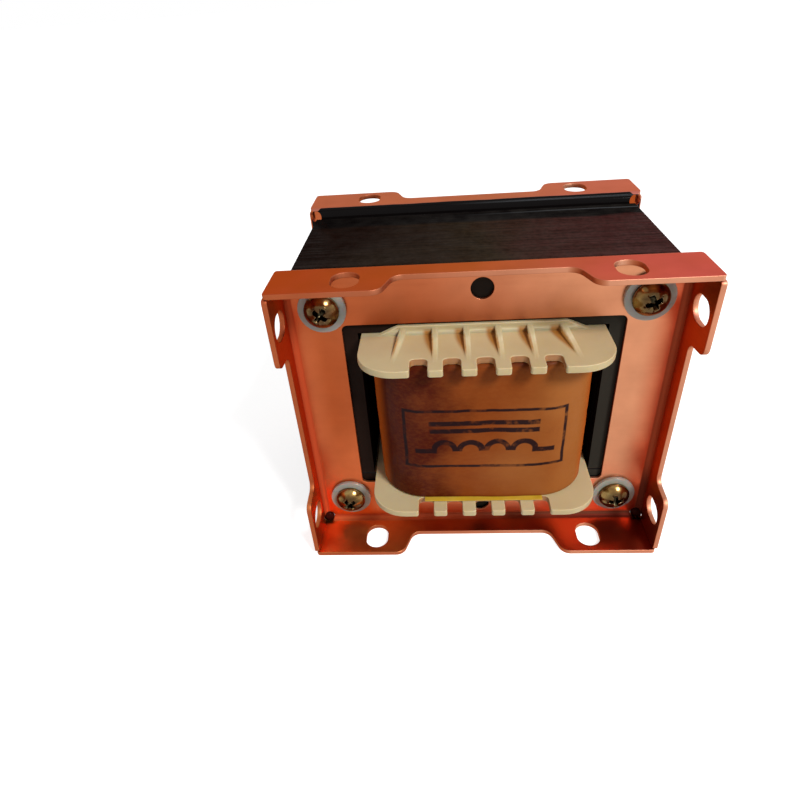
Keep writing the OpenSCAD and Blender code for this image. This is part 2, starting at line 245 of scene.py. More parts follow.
def stacked(bm, seed):
    picks = random.Random(seed)
    tone = bm.faces.layers.float.new("tone")
    grown = bmesh.ops.extrude_face_region(bm, geom=bm.faces)
    pushed = [v for v in grown["geom"] if isinstance(v, bmesh.types.BMVert)]
    bmesh.ops.translate(bm, verts=pushed, vec=(0, SHEET_PITCH - SHEET_GAP, 0))
    bmesh.ops.recalc_face_normals(bm, faces=bm.faces)
    rims = [e for e in bm.edges if e.calc_face_angle(0) > CORNER and e.calc_length() > 2 * BOLT_HOLE]
    bmesh.ops.bevel(
        bm, geom=rims, affect="EDGES", offset=RIM, segments=1, profile=0.5, material=-1, clamp_overlap=False)
    first = bm.verts[:] + bm.edges[:] + bm.faces[:]
    for face in bm.faces:
        face[tone] = picks.random()
    for number in range(1, SHEETS):
        copy = bmesh.ops.duplicate(bm, geom=first)["geom"]
        step = (picks.uniform(-STRAY, STRAY), number * SHEET_PITCH, picks.uniform(-STRAY, STRAY))
        bmesh.ops.translate(bm, verts=[v for v in copy if isinstance(v, bmesh.types.BMVert)], vec=step)
        shade = picks.random()
        for face in copy:
            if isinstance(face, bmesh.types.BMFace):
                face[tone] = shade
    return bm


e_stack = finished("e_laminations", stacked(e_sheet, seed=11), "core_varnish", "e_lamination_stack")
i_stack = finished("i_laminations", stacked(i_sheet, seed=12), "core_varnish", "i_lamination_stack")

# %% [markdown]
# ## Varnish beads
#
# Where two folds meet, a small relief hole keeps the steel from tearing. The core is dipped with its frames
# on, and the varnish that runs down dries as a bead in each of the lower holes. Drops this small need only a
# sphere, squashed along the hole and pushed out of round by noise. Its rim sinks into the steel, so no gap
# shows.

# %% Put a bead in each lower relief hole
RELIEF_X, RELIEF_Y, RELIEF_Z = 43.2 * MM, 21.3 * MM, 2.0 * MM
BEAD_R = 1.6 * MM
BEAD_SQUASH = 0.75
BEAD_UNEVEN = 0.12 * MM
NOISE_APART = 7


def varnish_bead(number, x, y):
    bm = bmesh.new()
    bmesh.ops.create_uvsphere(bm, u_segments=20, v_segments=12, radius=BEAD_R)
    for vert in bm.verts:
        lump = noise.noise(vert.co / BEAD_R + Vector((number * NOISE_APART, 0, 0)))
        vert.co += vert.normal * BEAD_UNEVEN * lump
    bmesh.ops.scale(bm, verts=bm.verts, vec=(1, BEAD_SQUASH, 1))
    bmesh.ops.translate(bm, verts=bm.verts, vec=(x, y, RELIEF_Z))
    return finished(f"varnish_bead_{number}", bm, "core_varnish")


bead_places = [(x, y) for y in (-RELIEF_Y, RELIEF_Y) for x in (-RELIEF_X, RELIEF_X)]
beads = [varnish_bead(number, *place) for number, place in enumerate(bead_places, 1)]

# %% [markdown]
# ## The bobbin
#
# The bobbin is one nylon moulding: a square tube with a flange at each end, notches that lead the wires out,
# an upright wall that centres it in the core, and ribs that stiffen the flange. The CAD shape already has
# all of it. First the ribs' low feet are pressed down onto the flange, because a bevel needs more height than
# they have. Then the ribs get the full round back that lets them leave the mould, and all other edges less.

# %% Round the bobbin's ribs, then its other edges
RIB_SLOPE = 1.9 / 12.44
FOOT = 0.12 * MM
FLANGE_FACE = 21.25 * MM
LONG_EDGE = 8 * MM
SLOPE_MARGIN = 0.03
RIB_ROUND, BOBBIN_ROUND = 0.5, 0.2

moulding = merged_copy("bobbin")
moulding.faces.layers.float.new("edge")
bobbin_low, bobbin_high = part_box("bobbin")
bobbin_middle = (bobbin_low.z + bobbin_high.z) / 2
pressed = {}
for edge in moulding.edges:
    inner, outer = sorted(edge.verts, key=lambda v: abs(v.co.z - bobbin_middle))
    if edge.calc_length() < FOOT and abs(outer.co.z - bobbin_middle) > FLANGE_FACE + SKIN:
        pressed[outer] = inner
bmesh.ops.weld_verts(moulding, targetmap=pressed)
print("pressed", len(pressed), "corners")


def on_rib_back(edge):
    run = edge.verts[1].co - edge.verts[0].co
    return run.length > LONG_EDGE and abs(abs(run.z) / run.xy.length - RIB_SLOPE) < SLOPE_MARGIN


backs = [e for e in outer_corners(moulding) if on_rib_back(e)]
rounded(moulding, backs, RIB_ROUND, segments=4)
rounded(moulding, outer_corners(moulding), BOBBIN_ROUND, segments=3)
bobbin = finished("moulded_bobbin", moulding, "bobbin_nylon", "bobbin")

# %% [markdown]
# ## The paper wrap
#
# The coil is closed with a wrap of brown insulating paper that soaks up varnish when the choke is dipped. It
# is thin and hand-wound, so it puckers under the flange and bulges below it. The outline is cut out of the
# CAD piece with a plane, subdivided, and drawn up in rows, which gives an even net that noise can push about
# like real paper. The top edge is turned in against the flange, and the hem hangs a little ragged.

# %% Cut the wrap's outline out of the CAD piece
PAPER = 0.38 * MM
NET = 0.8 * MM
wrap_low, wrap_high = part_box("outer_wrap")

paper = merged_copy("outer_wrap")
bmesh.ops.bisect_plane(
    paper, geom=paper.verts[:] + paper.edges[:] + paper.faces[:], plane_co=(wrap_low + wrap_high) / 2,
    plane_no=(0, 0, 1), clear_outer=True, clear_inner=True)
reach = max(v.co.x for v in paper.verts)
start = max(paper.verts, key=lambda v: v.co.x)
outline = {start}
while True:
    more = {e.other_vert(v) for v in outline for e in v.link_edges} - outline
    if not more:
        break
    outline |= more
bmesh.ops.delete(paper, geom=[v for v in paper.verts if v not in outline], context="VERTS")
for edge in paper.edges[:]:
    cuts = int(edge.calc_length() / NET)
    if cuts:
        bmesh.ops.subdivide_edges(paper, edges=[edge], cuts=cuts)
bmesh.ops.translate(paper, verts=paper.verts, vec=(0, 0, wrap_low.z - paper.verts[:][0].co.z))
print("outline of", len(paper.verts), "points, reaching", round(reach / MM, 2), "mm to the side")

# %% Draw the outline up into a net
ROWS = 48
height = wrap_high.z - wrap_low.z
bmesh.ops.spin(
    paper, geom=paper.edges[:], cent=(0, 0, 0), axis=(0, 0, 1), dvec=(0, 0, height / ROWS), angle=0,
    steps=ROWS, use_merge=False)
bmesh.ops.remove_doubles(paper, verts=paper.verts, dist=MERGE)
bmesh.ops.recalc_face_normals(paper, faces=paper.faces)
if sum(f.normal.dot(f.calc_center_median() * Vector((1, 1, 0))) for f in paper.faces) < 0:
    bmesh.ops.reverse_faces(paper, faces=paper.faces)
print("net of", len(paper.faces), "faces")

# %% Push the net about like paper
PUCKER = 0.26 * MM
BULGE = 0.16 * MM
RAGGED = 0.22 * MM
FOLDED_OVER = 1.8 * MM
FOLD_LIFT = 0.07 * MM
HEM = 0.45 * MM
HEM_SHARE = 1 / 8
CREASE_SHARE = 0.35


def waves(point, across, up, shift=0):
    """Noise with about this many waves a metre across and up the paper."""
    return noise.noise(Vector((point.x * across, point.y * across, point.z * up + shift)))


def paper_height(point):
    """How far the paper lies inside or outside its smooth outline at this point."""
    up = (point.z - wrap_low.z) / height
    wide = waves(point, 95, 60)
    folds = waves(point, 330, 70, shift=5)
    creases = waves(point, 120, 520, shift=9)
    return BULGE * (wide - 0.5) + PUCKER * (up ** 2 * folds + CREASE_SHARE * creases)


paper.normal_update()
moved = [(v, v.co + v.normal * paper_height(v.co)) for v in paper.verts]
for vert, place in moved:
    up = (vert.co.z - wrap_low.z) / height
    place.z += (RAGGED * waves(vert.co, 70, 0) - HEM) * max(0, 1 - up / HEM_SHARE)
    if up > 1 - 0.5 / ROWS:
        place -= vert.normal * FOLDED_OVER
        place.z = wrap_high.z + 2 * FOLD_LIFT
    elif up > 1 - 1.5 / ROWS:
        place.z = wrap_high.z + FOLD_LIFT
    vert.co = place
wrap = finished("paper_wrap", paper, "wrap_paper", "outer_wrap")
sheet = wrap.modifiers.new("paper thickness", "SOLIDIFY")
sheet.thickness = PAPER
sheet.offset = -1
wrap.modifiers.move(1, 0)

# %% [markdown]
# ## Bolts, nuts and washers
#
# Four through-bolts clamp the frames on the core, each insulated from the frames by washers so that it can't
# close a turn round the iron. These are turned, headed or punched parts whose CAD shapes are right, so each
# gets rounded edges and nothing else.

# %% Round the small parts' edges
small_parts = [
    ("bolts", "through_bolts", 0.1, "yellow_zinc"),
    ("nuts", "hex_nuts", 0.1, "yellow_zinc"),
    ("lock_washers", "split_washers", 0.08, "yellow_zinc"),
    ("flat_washers", "plain_washers", 0.07, "yellow_zinc"),
]
for side in ("front", "rear"):
    for number in range(1, 5):
        node = f"{side}_insulating_washer_{number}"
        small_parts.append((node, f"{side}_insulator_{number}", 0.12, "washer_fibre"))
small = {name: finished(name, softened(node, width), slot, node) for node, name, width, slot in small_parts}

# %% [markdown]
# ## Shader tools
#
# A material is a small network of nodes. One helper adds a node and links its inputs. The others do
# arithmetic, turn a range of values into a soft step, mix colours, and tell where a point lies and which
# way it faces.

# %% Helpers for materials
def put(tree, kind, inputs=None, **settings):
    made = tree.nodes.new("ShaderNode" + kind)
    for key, value in settings.items():
        setattr(made, key, value)
    for key, value in (inputs or {}).items():
        if isinstance(value, bpy.types.NodeSocket):
            tree.links.new(value, made.inputs[key])
        else:
            made.inputs[key].default_value = value
    return made


def calc(tree, operation, *values):
    return put(tree, "Math", dict(enumerate(values)), operation=operation).outputs[0]


def chain(tree, operation, first, *others):
    """Joins any number of values by one operation, from left to right."""
    for other in others:
        first = calc(tree, operation, first, other)
    return first


def times(tree, *values):
    return chain(tree, "MULTIPLY", *values)


def plus(tree, *values):
    return chain(tree, "ADD", *values)


def largest(tree, *values):
    return chain(tree, "MAXIMUM", *values)


def minus(tree, first, second):
    return calc(tree, "SUBTRACT", first, second)


def size(tree, value):
    return calc(tree, "ABSOLUTE", value)


def step(tree, value, low, high, to_low=0.0, to_high=1.0):
    """Goes softly from to_low to to_high while value goes from low to high."""
    inputs = {"Value": value, "From Min": low, "From Max": high, "To Min": to_low, "To Max": to_high}
    return put(tree, "MapRange", inputs, interpolation_type="SMOOTHSTEP").outputs[0]


def mix(tree, share, first, second):
    """Mixes two colours."""
    return put(tree, "Mix", {0: share, 6: first, 7: second}, data_type="RGBA").outputs[2]


def ramp(tree, value, *stops):
    """A colour ramp through (place, colour) stops."""
    made = put(tree, "ValToRGB", {0: value})
    elements = made.color_ramp.elements
    while len(elements) < len(stops):
        elements.new(0.5)
    for element, (place, colour) in zip(elements, stops):
        element.position = place
        element.color = (*colour, 1)
    return made.outputs[0]


def here(tree):
    return put(tree, "TexCoord").outputs["Object"]


def position(tree):
    return put(tree, "SeparateXYZ", {0: here(tree)}).outputs


def direction(tree):
    return put(tree, "SeparateXYZ", {0: put(tree, "NewGeometry").outputs["Normal"]}).outputs


def marked(tree, layer):
    """What the bmesh layer of this name holds."""
    return put(tree, "Attribute", attribute_name=layer).outputs["Fac"]


# %% [markdown]
# ## Effects that several materials share
#
# Blotches, streaks, worn edges, settled dust and the line of the varnish bath turn up on most of the
# pieces. Each is a node group with named inputs, built once and placed in each material with its own values.
# The groups only put out masks and heights. The shader itself stays in the material.

# %% A helper that starts a node group
def new_group(name, output, **inputs):
    """An empty group with these inputs, each at its usual value, and one output."""
    tree = bpy.data.node_groups.new(name, "ShaderNodeTree")
    for title, value in inputs.items():
        kind = "NodeSocketVector" if isinstance(value, tuple) else "NodeSocketFloat"
        tree.interface.new_socket(title, in_out="INPUT", socket_type=kind).default_value = value
    tree.interface.new_socket(output, in_out="OUTPUT", socket_type="NodeSocketFloat")
    print("group", name, "takes", ", ".join(inputs), "and gives", output)
    return tree, tree.nodes.new("NodeGroupInput").outputs, tree.nodes.new("NodeGroupOutput").inputs[output]


def use(tree, group, **inputs):
    return put(tree, "Group", inputs, node_tree=group).outputs[0]


# %% Blotches: soft patches of more and less
EVEN = 0.5
BLOTCHES, given, result = new_group("blotches", "Mask", Scale=100.0, Contrast=2.0)
cloud_inputs = {"Vector": here(BLOTCHES), "Scale": given["Scale"], "Detail": 4.0}
cloud = put(BLOTCHES, "TexNoise", cloud_inputs).outputs[0]
swing = times(BLOTCHES, minus(BLOTCHES, cloud, EVEN), given["Contrast"])
BLOTCHES.links.new(put(BLOTCHES, "Clamp", {0: plus(BLOTCHES, swing, EVEN)}).outputs[0], result)

# %% Streaks: noise drawn out in one direction, for rolled metal, laminations and paper fibre
STREAKS, given, result = new_group("streaks", "Height", Density=(30.0, 900.0, 900.0))
drawn = put(STREAKS, "VectorMath", {0: here(STREAKS), 1: given["Density"]}, operation="MULTIPLY").outputs[0]
line_inputs = {"Vector": drawn, "Scale": 1.0, "Detail": 3.0, "Roughness": 0.6}
STREAKS.links.new(put(STREAKS, "TexNoise", line_inputs).outputs[0], result)

# %% Worn edges: the marked bevel faces, broken up by noise
EDGE_WEAR, given, result = new_group("edge wear", "Mask", Amount=0.6)
chips = use(EDGE_WEAR, BLOTCHES, Scale=900.0, Contrast=3.0)
EDGE_WEAR.links.new(times(EDGE_WEAR, marked(EDGE_WEAR, "edge"), chips, given["Amount"]), result)

# %% Settled dust: thin patches on what faces up
DUST, given, result = new_group("settled dust", "Mask", Amount=0.1)
upward = step(DUST, direction(DUST)["Z"], 0.4, 1.0)
patches = use(DUST, BLOTCHES, Scale=260.0, Contrast=2.5)
DUST.links.new(times(DUST, upward, patches, given["Amount"]), result)

# %% Varnish line: black varnish on what lies within a given distance of the core's faces
CORE_FACE = 20.25 * MM
SOFT_LINE = 0.1 * MM
TIDE, given, result = new_group("varnish line", "Mask", Reach=1.0 * MM, Wander=0.6 * MM)
patches = use(TIDE, BLOTCHES, Scale=90.0, Contrast=1.5)
wander = times(TIDE, minus(TIDE, patches, EVEN), given["Wander"])
line = plus(TIDE, given["Reach"], wander, CORE_FACE)
past_line = minus(TIDE, size(TIDE, position(TIDE)["Y"]), line)
TIDE.links.new(step(TIDE, past_line, -SOFT_LINE, SOFT_LINE, 1.0, 0.0), result)


# %% [markdown]
# ## Copper plate
#
# Bright copper plate is a thin metal coat, so it has no colour of its own apart from what it reflects: the
# base colour is the tint of one reflection. The plate is never even. Its tint carries painted light and
# shade:
# browner at the left and lower down, peach at the right, with tints of its own for faces that look sideways
# and up, and dark blotches of painted reflection on what faces up low down. It has brown finger blotches, it
# is paler on the sheared cut, with painted shade on cut faces that look left, and it is black where the
# varnish crept round the bend. The inner folds carry painted shade: there the finish is dull and dark red,
# and no metal.

# %% The start and end of every material
def new_material(name, **constants):
    material = bpy.data.materials.new(name)
    material.use_nodes = True
    shader = material.node_tree.nodes["Principled BSDF"]
    for key, value in constants.items():
        shader.inputs[key.replace("_", " ")].default_value = value
    return material, material.node_tree, shader.inputs


def bump(tree, height, strength, depth):
    return put(tree, "Bump", {"Strength": strength, "Distance": depth * MM, "Height": height}).outputs[0]


def wire(tree, inputs, **sockets):
    for key, value in sockets.items():
        tree.links.new(value, inputs[key.replace("_", " ")])


def dress(material, *pieces):
    for piece in pieces:
        piece.data.materials.clear()
        piece.data.materials.append(material)
    print(material.name, "on", ", ".join(piece.name for piece in pieces))


# %% Copper plate: the tint of each area, with painted light and shade
COPPER_PEACH = (0.64, 0.27, 0.14, 1)
COPPER_ORANGE = (0.60, 0.14, 0.045, 1)
COPPER_BROWN = (0.40, 0.078, 0.02, 1)
COPPER_DARK_REFLECTION = (0.24, 0.02, 0.012, 1)
COPPER_REAR = (0.50, 0.21, 0.15, 1)
REAR_SHARE = 0.55

copper, tree, shader = new_material(
    "copper plate", Specular_Tint=(0.90, 0.50, 0.36, 1), Specular_IOR_Level=0.0, Coat_Roughness=0.1)
place = position(tree)
# painted_light_across runs from the left to the right: browner at the left, peach at the right. It is painted
# light and shade, and low_down makes the face browner lower down.
drift = times(tree, minus(tree, use(tree, BLOTCHES, Scale=22.0, Contrast=2.0), EVEN), 30 * MM)
painted_light_across = step(tree, plus(tree, place["X"], drift), -45 * MM, 42 * MM)
low_down = step(tree, plus(tree, place["Z"], drift), 40 * MM, 10 * MM)
face_tint = mix(tree, painted_light_across, mix(tree, low_down, COPPER_BROWN, COPPER_ORANGE), COPPER_PEACH)
# Faces that look sideways, up high and up low get tints of their own, which also run from left to right:
# painted reflection and shade.
side_tint = ramp(tree, painted_light_across, (0.0, (0.58, 0.145, 0.052)), (1.0, (0.54, 0.11, 0.044)))
top_tint = ramp(
    tree, painted_light_across, (0.0, (0.36, 0.060, 0.032)), (0.45, (0.39, 0.10, 0.045)),
    (0.7, (0.46, 0.12, 0.07)), (1.0, (0.58, 0.108, 0.105)))
rear = step(tree, place["Y"], 0.0, CORE_FACE, 0.0, REAR_SHARE)
top_tint = mix(tree, rear, top_tint, COPPER_REAR)
ground_tint = ramp(
    tree, painted_light_across, (0.05, (0.95, 0.36, 0.11)), (0.4, (0.38, 0.070, 0.02)), (1.0, (0.26, 0.042, 0.018)))
# Dark blotches on what faces up low down stand in for dark reflections: painted reflection.
reflection_blotches = times(tree, use(tree, BLOTCHES, Scale=80.0, Contrast=3.5), 0.5)
ground_tint = mix(tree, reflection_blotches, ground_tint, COPPER_DARK_REFLECTION)

# %% Copper plate: tints and wear put together
CHOKE_TOP = 77.2 * MM
CHOKE_MIDDLE = CHOKE_TOP / 2
COPPER_CUT = (0.80, 0.48, 0.32, 1)
COPPER_CUT_LEFT_SHADE = (0.31, 0.078, 0.03, 1)
COPPER_CUT_SHADE = (0.38, 0.095, 0.035, 1)
FINGER_BROWN = (0.12, 0.03, 0.012, 1)
CUT_SHARE = 0.7
FINGER_SHARE = 0.18

facing = direction(tree)
upward = step(tree, facing["Z"], 0.3, 0.8)
high_up = step(tree, place["Z"], CHOKE_MIDDLE - 10 * MM, CHOKE_MIDDLE + 10 * MM)
from_middle = size(tree, place["X"])
near_bend = step(tree, from_middle, 36 * MM, 42.5 * MM, 0.0, 0.8)
sideways = largest(tree, near_bend, step(tree, size(tree, facing["X"]), 0.3, 0.9))
tint = mix(tree, sideways, face_tint, side_tint)
tint = mix(tree, upward, tint, mix(tree, high_up, ground_tint, top_tint))
cut = marked(tree, "cut")
# The cut is darker at its left end, and cut faces that look left are darker still: painted shade.
sheared = mix(tree, painted_light_across, COPPER_CUT_LEFT_SHADE, COPPER_CUT)
cut_tint = mix(tree, step(tree, facing["X"], -0.6, 0.6), COPPER_CUT_SHADE, sheared)
tint = mix(tree, times(tree, cut, CUT_SHARE), tint, cut_tint)
tint = mix(tree, use(tree, EDGE_WEAR, Amount=0.5), tint, cut_tint)
fingered = mix(tree, FINGER_SHARE, tint, FINGER_BROWN)
tint = mix(tree, use(tree, BLOTCHES, Scale=140.0, Contrast=2.4), tint, fingered)

# %% Copper plate: painted shade in the inner folds
FOLD_R = 1.2 * MM
PLATE_FRONT = 21.45 * MM
FOLD_AXIS_X, FOLD_AXIS_Y, FOLD_AXIS_Z = 42.7 * MM, 22.65 * MM, 36.2 * MM
FOLD_SHADE_RED = (0.42, 0.055, 0.018, 1)
FOLD_SHADE_BROWN = (0.30, 0.048, 0.018, 1)
FOLD_SHADE_DARK = (0.08, 0.012, 0.008, 1)
FOLD_SHADE_SHARE = 0.85

off_plate = size(tree, place["Y"])
off_middle = size(tree, minus(tree, place["Z"], CHOKE_MIDDLE))
past_axis = largest(tree, minus(tree, from_middle, FOLD_AXIS_X), minus(tree, off_middle, FOLD_AXIS_Z))
# The inner folds get a dull dark red with no metal: painted shade, which also dims their highlight.
painted_fold_shade = times(
    tree,
    step(tree, past_axis, -0.3 * MM, 0.1 * MM),
    step(tree, past_axis, FOLD_R + 0.05 * MM, FOLD_R + 0.1 * MM, 1.0, 0.0),
    step(tree, off_plate, PLATE_FRONT - 0.1 * MM, PLATE_FRONT),
    step(tree, off_plate, FOLD_AXIS_Y + 0.4 * MM, FOLD_AXIS_Y - 0.2 * MM),
    FOLD_SHADE_SHARE)
fold_shade_right = mix(tree, step(tree, place["Z"], 22 * MM, 12 * MM), FOLD_SHADE_BROWN, FOLD_SHADE_DARK)
tint = mix(tree, painted_fold_shade, tint, mix(tree, painted_light_across, FOLD_SHADE_RED, fold_shade_right))

# %% Copper plate: varnish that crept round the bends
VARNISH_BLACK = (0.004, 0.003, 0.003, 1)
VARNISH_HIGHLIGHT = (0.085, 0.090, 0.097, 1)
FRONT_CREEP, REAR_CREEP, BEND_CREEP = 0.5 * MM, 0.85 * MM, 0.95 * MM
CORNER_START = 41.5 * MM

side_sign = calc(tree, "SIGN", place["X"])
height_sign = calc(tree, "SIGN", minus(tree, place["Z"], CHOKE_MIDDLE))
outward = plus(tree, times(tree, facing["X"], side_sign), times(tree, facing["Z"], height_sign))
on_rear = step(tree, place["Y"], -MM, MM)
off_corner = step(tree, from_middle, CORNER_START, CORNER_START + MM, 1.0, 0.0)
round_bend = times(tree, step(tree, outward, 0.1, 0.5), off_corner)
reach = plus(
    tree,
    step(tree, on_rear, 0.0, 1.0, FRONT_CREEP, REAR_CREEP),
    times(tree, on_rear, round_bend, BEND_CREEP))
black = use(tree, TIDE, Reach=reach, Wander=0.4 * MM)
# A thin grey line along the rear bend is a painted highlight.
painted_ridge_highlight = size(tree, minus(tree, place["Y"], CORE_FACE + REAR_CREEP))
painted_ridge_highlight = times(
    tree,
    step(tree, painted_ridge_highlight, 0.25 * MM, 0.04 * MM),
    step(tree, place["X"], -10 * MM, 25 * MM),
    step(tree, place["Z"], 70 * MM, 72 * MM, 0.0, 0.8))
varnish_tint = mix(tree, painted_ridge_highlight, VARNISH_BLACK, VARNISH_HIGHLIGHT)

# %% Copper plate: gloss, and everything wired together
rolled = use(tree, STREAKS, Density=(60.0, 60.0, 1500.0))
gloss = plus(tree, step(tree, rolled, 0.3, 0.7, 0.3, 0.38), times(tree, cut, 0.18))
wire(tree, shader,
     Base_Color=mix(tree, black, tint, varnish_tint),
     Metallic=minus(tree, 1.0, largest(tree, black, painted_fold_shade)),
     Roughness=gloss,
     Coat_Weight=times(tree, black, 0.1),
     Normal=bump(tree, rolled, 0.05, 0.02))
dress(copper, *frames)

# %% [markdown]
# ## Varnished laminations
#
# The stacked core was dipped in black varnish and baked. Over the sheets' edges the varnish is thin and
# follows every step, so light breaks into fine streaks along the sheets. Each sheet's own number makes it a
# little browner or blacker than its neighbour. The flat side of the outermost sheet has no such streaks. At
# the rear the varnish has run together into plain black, and this black band is also a painted reflection of
# the rear frame's black bend. Inside the window the sides of the legs are painted plain black: painted shade.

# %% Core varnish: thin over the sheets' edges
CORE_BLACK = (0.005, 0.003, 0.002, 1)
core_coat, tree, shader = new_material(
    "core varnish", Coat_Roughness=0.1, Specular_IOR_Level=0.0, Roughness=0.6)
spot = position(tree)
along = use(tree, STREAKS, Density=(70.0, 3200.0, 3200.0))
grain = use(tree, BLOTCHES, Scale=900.0, Contrast=2.0)
thin = plus(tree, times(tree, marked(tree, "tone"), 0.3), times(tree, along, 0.7))
thin = plus(tree, times(tree, thin, 0.75), times(tree, grain, 0.25))
cast = use(tree, BLOTCHES, Scale=38.0, Contrast=3.0)
across = step(tree, plus(tree, spot["X"], times(tree, cast, 20 * MM)), -35 * MM, 52 * MM)
thin_colour = ramp(
    tree, across, (0.0, (0.014, 0.004, 0.002)), (0.5, (0.026, 0.014, 0.005)), (1.0, (0.056, 0.015, 0.014)))
coat_colour = mix(tree, step(tree, thin, 0.25, 0.75, 0.25, 1.0), CORE_BLACK, thin_colour)

# %% Core varnish: black at the rear with painted reflection, painted shade in the window, and the flat sides
WINDOW_SIDE = 2 * HALF_LEG
POOL_START, POOL_FULL = 11.8 * MM, 14.0 * MM
PAINTED_HIGHLIGHT_Y = 17.35 * MM
FLAT_LEFT = (0.016, 0.008, 0.0055, 1)
FLAT_RIGHT = (0.030, 0.027, 0.021, 1)
CORE_DUST = (0.3, 0.27, 0.24, 1)

# The black band at the rear is varnish run together, and also painted reflection of the rear frame's bend.
painted_dark_band = step(tree, plus(tree, spot["Y"], times(tree, cast, 2 * MM)), POOL_START, POOL_FULL)
facing = direction(tree)
flat_side = step(tree, size(tree, facing["Y"]), 0.6, 0.9)
# The sideways faces inside the window are painted black: painted shade.
painted_window_shade = times(
    tree, step(tree, size(tree, facing["X"]), 0.6, 0.9),
    step(tree, size(tree, spot["X"]), WINDOW_SIDE + MM, WINDOW_SIDE))
# A thin grey line across the rear of the core is a painted highlight.
painted_ridge_highlight = minus(tree, spot["Y"], plus(tree, times(tree, cast, 0.5 * MM), PAINTED_HIGHLIGHT_Y))
painted_ridge_highlight = times(
    tree, step(tree, size(tree, painted_ridge_highlight), 0.5 * MM, 0.1 * MM),
    step(tree, spot["X"], -10 * MM, 30 * MM, 0.0, 0.55))
pool_colour = mix(tree, painted_ridge_highlight, VARNISH_BLACK, VARNISH_HIGHLIGHT)
coat_colour = mix(tree, largest(tree, painted_dark_band, painted_window_shade), coat_colour, pool_colour)
coat_colour = mix(tree, flat_side, coat_colour, mix(tree, across, FLAT_LEFT, FLAT_RIGHT))
wire(tree, shader,
     Base_Color=mix(tree, use(tree, DUST, Amount=0.03), coat_colour, CORE_DUST),
     Coat_Weight=times(tree, step(tree, thin, 0.25, 0.75, 0.01, 0.045), minus(tree, 1.0, painted_window_shade)),
     Normal=bump(tree, times(tree, along, minus(tree, 1.0, flat_side)), 0.2, 0.02))
dress(core_coat, e_stack, i_stack)

# %% The beads' dark red-black
DRIP_DARK = (0.012, 0.002, 0.002, 1)
DRIP_RED = (0.05, 0.007, 0.004, 1)
drip, tree, shader = new_material(
    "varnish drip", Coat_Weight=0.03, Coat_Roughness=0.1, Specular_IOR_Level=0.0)
lumps = use(tree, BLOTCHES, Scale=500.0, Contrast=2.0)
wire(tree, shader,
     Base_Color=mix(tree, lumps, DRIP_DARK, DRIP_RED),
     Roughness=step(tree, lumps, 0.0, 1.0, 0.35, 0.6))
dress(drip, *beads)

# %% [markdown]
# ## Nylon
#
# Natural nylon is milky: light goes a little way in and comes out warmer, which softens every shadow on the
# ribs. Subsurface scattering does that. On one side of each rib an amber shadow is painted, and there are
# amber blotches near the foot of the wall. Upright faces and the notch walls get darker tints: painted shade.

# %% Bobbin nylon: where a point lies between the ribs
WALL_FRONT = 21.75 * MM
RIB_PITCH = 7.1 * MM
RIB_HALF = 0.7 * MM
SPLAY = math.tan(math.radians(9))

nylon, tree, shader = new_material(
    "bobbin nylon", Subsurface_Weight=0.4, Subsurface_Scale=0.0008, Subsurface_Radius=(1.0, 0.55, 0.22),
    Specular_IOR_Level=0.3)
spot = position(tree)
from_middle = size(tree, spot["X"])
from_wall = minus(tree, size(tree, spot["Y"]), WALL_FRONT)
from_flange = minus(tree, size(tree, minus(tree, spot["Z"], bobbin_middle)), FLANGE_FACE)
outside = step(tree, from_flange, -0.05 * MM, 0.0)
outer_rib = step(tree, from_middle, 1.95 * RIB_PITCH, 2.05 * RIB_PITCH, 0.0, SPLAY)
splayed = times(tree, calc(tree, "SIGN", spot["X"]), outer_rib, from_wall)
straight_x = minus(tree, spot["X"], splayed)
from_rib = minus(tree, calc(tree, "FLOORED_MODULO", straight_x, RIB_PITCH), RIB_PITCH / 2)

# %% Bobbin nylon: the painted amber shadow beside each rib
RIB_SHADOW_WIDTH, RIB_SHADOW_RUN = 2.1 * MM, 12 * MM
AMBER_SHADE = (0.36, 0.15, 0.024, 1)
AMBER_LIT = (0.98, 0.52, 0.085, 1)

facing = direction(tree)
# Beside one side of each rib lies a painted amber shadow, widest at the wall. The rib's own side face that
# looks left gets the lighter AMBER_LIT: also painted shade.
shadow_edge = step(tree, from_wall, 0.0, RIB_SHADOW_RUN, -RIB_SHADOW_WIDTH, 0.0)
past_shadow = minus(tree, from_rib, minus(tree, shadow_edge, RIB_HALF))
painted_rib_shadow = times(
    tree,
    step(tree, past_shadow, -0.4 * MM, 0.8 * MM),
    step(tree, from_rib, -0.5 * MM, -0.2 * MM, 1.0, 0.0),
    step(tree, size(tree, straight_x), 2.7 * RIB_PITCH, 2.6 * RIB_PITCH),
    step(tree, from_wall, RIB_SHADOW_RUN, 8 * MM),
    step(tree, from_flange, 1.7 * MM, 1.2 * MM))
# Amber blotches near the foot of the wall.
amber_near_wall_and_ribs = times(
    tree, use(tree, BLOTCHES, Scale=150.0, Contrast=3.0), step(tree, from_wall, 3 * MM, -MM, 0.0, 0.3))
amber_near_wall_and_ribs = times(tree, largest(tree, amber_near_wall_and_ribs, painted_rib_shadow), outside)
amber = mix(tree, step(tree, facing["X"], -0.2, -0.7), AMBER_SHADE, AMBER_LIT)

# %% Bobbin nylon: cream, painted shade, stains and wear put together
CREAM_DARK = (0.50, 0.38, 0.20, 1)
CREAM_LIGHT = (0.58, 0.48, 0.28, 1)
WALL_CREAM = (0.50, 0.47, 0.29, 1)
UPRIGHT_SHADE_CREAM = (0.42, 0.33, 0.17, 1)
NOTCH_SHADE_BROWN = (0.32, 0.11, 0.026, 1)
RUBBED = (0.74, 0.66, 0.46, 1)
NYLON_DUST = (0.45, 0.36, 0.24, 1)
NOTCH_END, NOTCH_BOTTOM, NOTCHES_HALF_W = 15.4 * MM, 9 * MM, 18.5 * MM

